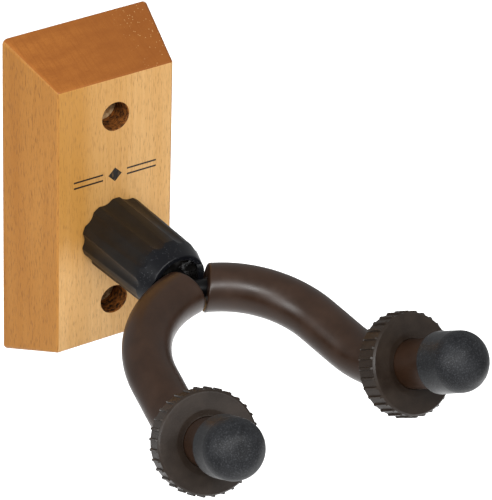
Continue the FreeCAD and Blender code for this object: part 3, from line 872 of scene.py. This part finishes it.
class Route:
    """Straight runs joined by tangent arcs, sampled closely, with frames that do not twist."""

    STEP = 0.0004

    def __init__(self, corners, bends):
        self.points = []
        start = corners[0]
        for before, corner, after, bend in zip(corners, corners[1:], corners[2:], bends):
            incoming = (corner - before).normalized()
            outgoing = (after - corner).normalized()
            turn = incoming.angle(outgoing)
            reach = bend * math.tan(turn / 2)
            self.run(start, corner - incoming * reach)
            centre = corner + (outgoing - incoming).normalized() * bend / math.cos(turn / 2)
            spoke = corner - incoming * reach - centre
            axis = incoming.cross(outgoing).normalized()
            steps = max(2, math.ceil(bend * turn / self.STEP))
            for step in range(steps):
                spun = Matrix.Rotation(turn * step / steps, 3, axis) @ spoke
                self.points.append(centre + spun)
            start = corner + outgoing * reach
        self.run(start, corners[-1])
        self.points.append(corners[-1])
        self.measure()

    def run(self, start, finish):
        """Adds a straight run, without its last point."""
        steps = max(1, math.ceil((finish - start).length / self.STEP))
        self.points += [start.lerp(finish, step / steps) for step in range(steps)]

    def measure(self):
        """Works out the distance along the route and the frame at each point."""
        self.places = [0.0]
        for here, after in zip(self.points, self.points[1:]):
            self.places.append(self.places[-1] + (after - here).length)
        self.length = self.places[-1]
        tangent = (self.points[1] - self.points[0]).normalized()
        aside = tangent.orthogonal().normalized()
        self.frames = []
        for index in range(len(self.points)):
            before = self.points[max(index - 1, 0)]
            after = self.points[min(index + 1, len(self.points) - 1)]
            now = (after - before).normalized()
            aside = (tangent.rotation_difference(now) @ aside).normalized()
            tangent = now
            self.frames.append((tangent, aside))

    def locate(self, along):
        """The centre, the heading and the sideways direction at a distance along the route."""
        index = 0
        low, high = 0, len(self.places) - 2
        while low <= high:
            index = (low + high) // 2
            if self.places[index + 1] < along:
                low = index + 1
            elif self.places[index] > along:
                high = index - 1
            else:
                break
        span = self.places[index + 1] - self.places[index]
        part = (along - self.places[index]) / span
        centre = self.points[index].lerp(self.points[index + 1], part)
        tangent = self.frames[index][0].lerp(self.frames[index + 1][0], part).normalized()
        aside = self.frames[index][1].lerp(self.frames[index + 1][1], part)
        aside = (aside - tangent * aside.dot(tangent)).normalized()
        return centre, tangent, aside

    def ring(self, along, radius, count):
        """A ring of points about the route at a distance along it."""
        centre, tangent, aside = self.locate(along)
        other = tangent.cross(aside)
        ring = []
        for step in range(count):
            angle = math.tau * step / count
            ring.append(centre + (aside * math.cos(angle) + other * math.sin(angle)) * radius)
        return ring


def spaced(start, finish, longest):
    """Evenly spaced values from start to finish, no further apart than the longest step."""
    steps = max(1, math.ceil(abs(finish - start) / longest))
    return [start + (finish - start) * step / steps for step in range(steps + 1)]


def make_rod(materials):
    """The bent bar that carries both tubes, from tip to tip."""
    left = arm_corners(-1)
    right = arm_corners(1)
    left_tip = (left[-1] - left[-2]).normalized()
    right_tip = (right[-1] - right[-2]).normalized()
    left[-1] = left[-1] + left_tip * TUBE_IN_CAP
    right[-1] = right[-1] + right_tip * TUBE_IN_CAP
    bends = [TIP_BEND, ARM_BEND, ROD_MIDDLE_BEND, ARM_BEND, TIP_BEND]
    route = Route(left[:0:-1] + right, bends)
    rings = [route.ring(0.0, 0.0, ROD_POINTS)]
    for along in spaced(0, route.length, ROD_STEP):
        rings.append(route.ring(along, ROD_RADIUS, ROD_POINTS))
    rings.append(route.ring(route.length, 0.0, ROD_POINTS))
    rod = skin("bent_rod", rings, loop=False, place=yoke_place())
    settle(rod, "yoke", materials["black_steel"], "yoke_rod")


def tube_stations(start, finish):
    """(distance, radius) of the rings of one hollow tube, its inner end rounded."""
    bore = ROD_RADIUS + TUBE_BORE_GAP
    stations = [(start, bore + TUBE_END_ROUND / 2)]
    stations.append((start, TUBE_RADIUS - TUBE_END_ROUND))
    for step in range(1, TUBE_END_STEPS + 1):
        angle = math.pi / 2 * step / TUBE_END_STEPS
        along = start + TUBE_END_ROUND * (1 - math.cos(angle))
        stations.append((along, TUBE_RADIUS - TUBE_END_ROUND * (1 - math.sin(angle))))
    outward = spaced(start + TUBE_END_ROUND, finish, TUBE_STEP)
    inward = spaced(finish, start + TUBE_END_ROUND, TUBE_STEP)
    stations += [(along, TUBE_RADIUS) for along in outward[1:]]
    stations += [(along, bore) for along in inward]
    return stations


def slanted(ring, tangent, cut_at, outward, inward):
    """The ring moved along the tube onto the slanted plane of its end, less so further in."""
    share = min(max(1 - (inward - TUBE_END_ROUND) / END_FADE, 0.0), 1.0)
    moved = []
    for point in ring:
        gap = ((cut_at - point).dot(outward) + inward) / tangent.dot(outward)
        moved.append(point + tangent * gap * share)
    return moved


def stud_notch_cutter():
    """The space that the swivel's stud needs beside the left tube's inner end."""
    notch = STUD_RADIUS + NOTCH_GAP
    return turned("stud_notch_tool", [
        (-YOKE_REACH, 0, 0), (-YOKE_REACH, notch, 0), (-MOUTH_FLOOR, notch, 0), (-MOUTH_FLOOR, 0, 0),
    ], yoke_place(), DRILL_POINTS, steps=1)


def make_tube(side, materials):
    """Soft tubing over one arm of the rod, its inner end cut off on a slant."""
    corners = arm_corners(side)
    cut_at = corners[0] + (corners[1] - corners[0]).normalized() * TUBE_START[side]
    outward = direction(90 - ARM_SWEEP - END_TURN[side], -ARM_DROOP - END_TILT[side])
    outward.x *= side
    tip = (corners[-1] - corners[-2]).normalized()
    corners[-1] = corners[-1] + tip * TUBE_IN_CAP
    route = Route(corners, [ARM_BEND, TIP_BEND])
    rings = []
    for along, radius in tube_stations(TUBE_START[side], route.length):
        ring = route.ring(along, radius, TUBE_POINTS)
        tangent = route.locate(along)[1]
        rings.append(slanted(ring, tangent, cut_at, outward, along - TUBE_START[side]))
    name = SIDES[side]
    tube = skin(name + "_tubing", rings, place=yoke_place())
    if side < 0:
        cut_out(tube, [stud_notch_cutter()])
    settle(tube, "yoke", materials["brown_tubing"], name + "_tube")


# ---------------------------------------------------------------- rings and caps

def ribbed_radius(along, radius, angle):
    """The ring's radius at an angle, with its ribs standing on the rim."""
    if radius < RING_RADIUS - RING_CHAMFER:
        return radius
    middle = -RING_SETBACK - RING_THICKNESS / 2
    room = RING_THICKNESS / 2 - RIB_SETBACK - abs(along - middle)
    rise = min(max(room / RIB_END_SLOPE, 0.0), 1.0)
    pitch = math.tau / RIB_COUNT
    off = abs(math.remainder(angle - math.pi / 2, pitch)) * RING_RADIUS
    flank = min(max((RIB_WIDTH / 2 + RIB_FLANK / 2 - off) / RIB_FLANK, 0.0), 1.0)
    flank = flank * flank * (3 - 2 * flank)
    return radius + RIB_HEIGHT * rise * flank


def make_ring(side, materials):
    """Ribbed rubber ring with a shallow dish round its hole."""
    front = -RING_SETBACK
    back = front - RING_THICKNESS
    hole = TUBE_RADIUS + RING_GAP
    outline = rounded([
        (back + DISH_DEPTH, hole, RING_CORNER_ROUND),
        (back + DISH_DEPTH, hole + DISH_FLOOR, RING_CORNER_ROUND),
        (back, DISH_RADIUS, DISH_ROUND),
        (back, RING_RADIUS - RING_CHAMFER, RING_CORNER_ROUND),
        (back + RING_CHAMFER, RING_RADIUS, RING_EDGE_ROUND),
        (front - RING_CHAMFER, RING_RADIUS, RING_EDGE_ROUND),
        (front, RING_RADIUS - RING_CHAMFER, RING_CORNER_ROUND),
        (front, DISH_RADIUS, DISH_ROUND),
        (front - DISH_DEPTH, hole + DISH_FLOOR, RING_CORNER_ROUND),
        (front - DISH_DEPTH, hole, RING_CORNER_ROUND),
    ], steps=4)
    rings = turned_rings(divided(outline, RING_STEP), RIB_COUNT * POINTS_PER_RIB, ribbed_radius)
    name = SIDES[side]
    ring = skin(name + "_ribbed_ring", rings, place=tip_place(side))
    body = name + "_ring"
    settle(ring, body, materials["ring_rubber"], name + "_ring")


def make_cap(side, materials):
    """Domed rubber cap with a blind hole for the tube's end, its side paler and glossier than its dome.
    """
    hole = TUBE_RADIUS + CAP_HOLE_GAP
    floor = TUBE_IN_CAP + CAP_FLOOR_GAP
    outline = rounded([
        (floor, 0, 0),
        (floor, hole, 0),
        (0, hole, CAP_HOLE_ROUND),
        (0, CAP_MOUTH_RADIUS, CAP_LIP_ROUND),
        (CAP_SHOULDER, CAP_SHOULDER_RADIUS, CAP_ROUND),
        (CAP_LENGTH, CAP_CROWN_RADIUS, CAP_ROUND),
        (CAP_LENGTH, 0, 0),
    ], steps=10)
    name = SIDES[side]
    rings = turned_rings(divided(outline, CAP_STEP), CAP_POINTS)
    cap = skin(name + "_rubber_cap", rings)
    cap.data.materials.append(materials["cap_side"])
    cap.data.materials.append(materials["cap_dome"])
    for face in cap.data.polygons:
        face.material_index = int(face.center.y > CAP_DOME_START)
    cap.data.transform(tip_place(side))
    settle(cap, "yoke", node=name + "_cap")


# ---------------------------------------------------------------- carried-over CAD pieces

KEPT_NODES = {
    "front_bushing": "nylon",
    "rear_bushing": "nylon",
    "swivel_shaft": "black_steel",
    "front_washer": "zinc_steel",
    "back_washer": "zinc_steel",
    "spacer_sleeve": "zinc_steel",
    "spring_washer": "spring_steel",
    "lock_nut": "zinc_steel",
    "nut_insert": "insert_nylon",
}


def paint_kept_nodes(materials):
    """Gives the CAD nodes that stay in view their finished materials."""
    for node, name in KEPT_NODES.items():
        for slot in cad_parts[node].material_slots:
            slot.material = materials[name]


# ---------------------------------------------------------------- camera, floor and light

CAMERA_TURN = 34.26
CAMERA_LIFT = 30.16
CAMERA_ROLL = 1.59
CAMERA_AWAY = 1.502
CAMERA_ASIDE = 0.0598
CAMERA_ABOVE = -0.0257
CAMERA_LENS = 311.3
CAMERA_SENSOR = 36.0
CAMERA_CLIP = 0.05

FLOOR_SIZE = 14.0
FLOOR_DROP = 1.1
FLOOR_GREY = 0.92
WORLD_STRENGTH = 0.37
LIT_POINT = Vector((0, -0.08, -0.01))
KEY_AWAY = 2.0
FILL_AWAY = 1.6
BACKDROP_AT = Vector((1.3, 0.6, -0.35))


def make_camera():
    """A long lens from the front left and above, as the object is usually pictured."""
    turn = math.radians(CAMERA_TURN)
    lift = math.radians(CAMERA_LIFT)
    roll = math.radians(CAMERA_ROLL)
    back = Vector((-math.sin(turn) * math.cos(lift), -math.cos(turn) * math.cos(lift),
                   math.sin(lift)))
    level = Vector((math.cos(turn), -math.sin(turn), 0))
    above = back.cross(level)
    right = level * math.cos(roll) + above * math.sin(roll)
    up = above * math.cos(roll) - level * math.sin(roll)
    lens = bpy.data.cameras.new("camera")
    lens.lens = CAMERA_LENS
    lens.sensor_width = CAMERA_SENSOR
    lens.clip_start = CAMERA_CLIP
    camera = bpy.data.objects.new("camera", lens)
    bpy.context.scene.collection.objects.link(camera)
    axes = Matrix((right, up, back)).transposed().to_4x4()
    seat = back * CAMERA_AWAY + right * CAMERA_ASIDE + up * CAMERA_ABOVE
    camera.matrix_world = Matrix.Translation(seat) @ axes
    bpy.context.scene.camera = camera


def make_floor():
    """A plain pale floor far enough below that the object's shadow fades out on it."""
    bpy.ops.mesh.primitive_plane_add(size=FLOOR_SIZE, location=(0, 0, -FLOOR_DROP))
    floor = bpy.context.object
    floor.name = "floor"
    material = bpy.data.materials.new("pale_floor")
    material.use_nodes = True
    shader = material.node_tree.nodes["Principled BSDF"]
    shader.inputs["Base Color"].default_value = (FLOOR_GREY, FLOOR_GREY, FLOOR_GREY, 1)
    shader.inputs["Roughness"].default_value = 0.9
    floor.data.materials.append(material)


def make_light(name, place, aim, width, height, power):
    """A soft box aimed at a point."""
    lamp = bpy.data.lights.new(name, "AREA")
    lamp.shape = "RECTANGLE"
    lamp.size = width
    lamp.size_y = height
    lamp.energy = power
    light = bpy.data.objects.new(name, lamp)
    bpy.context.scene.collection.objects.link(light)
    light.location = place
    light.rotation_euler = (aim - place).to_track_quat("-Z", "Y").to_euler()
    light.visible_camera = False


def make_world():
    """Even white light from all round, under a plain view transform."""
    world = bpy.data.worlds.new("studio")
    world.use_nodes = True
    background = world.node_tree.nodes["Background"]
    background.inputs["Color"].default_value = (1, 1, 1, 1)
    background.inputs["Strength"].default_value = WORLD_STRENGTH
    bpy.context.scene.world = world
    bpy.context.scene.view_settings.view_transform = "Standard"


def make_studio():
    """A long soft box in front, a smaller one at the left, and one that whitens the floor."""
    make_world()
    make_floor()
    key_at = LIT_POINT + direction(sideways=-20, upward=40) * KEY_AWAY
    fill_at = LIT_POINT + direction(sideways=-76, upward=24) * FILL_AWAY
    below_backdrop = Vector((BACKDROP_AT.x, BACKDROP_AT.y, -FLOOR_DROP))
    make_light("key", key_at, LIT_POINT, width=2.1, height=0.4, power=31)
    make_light("fill", fill_at, LIT_POINT, width=0.8, height=0.6, power=9)
    make_light("backdrop", BACKDROP_AT, below_backdrop, width=2.4, height=3.4, power=46)


# ---------------------------------------------------------------- build

def make_hanger():
    materials = {**make_woods(), **make_plastics(), **make_steels()}
    make_block(materials)
    make_collar(materials)
    make_mouth_fill(materials)
    make_rod(materials)
    for side in SIDES:
        make_tube(side, materials)
        make_ring(side, materials)
        make_cap(side, materials)
    paint_kept_nodes(materials)


make_camera()
make_studio()
make_hanger()
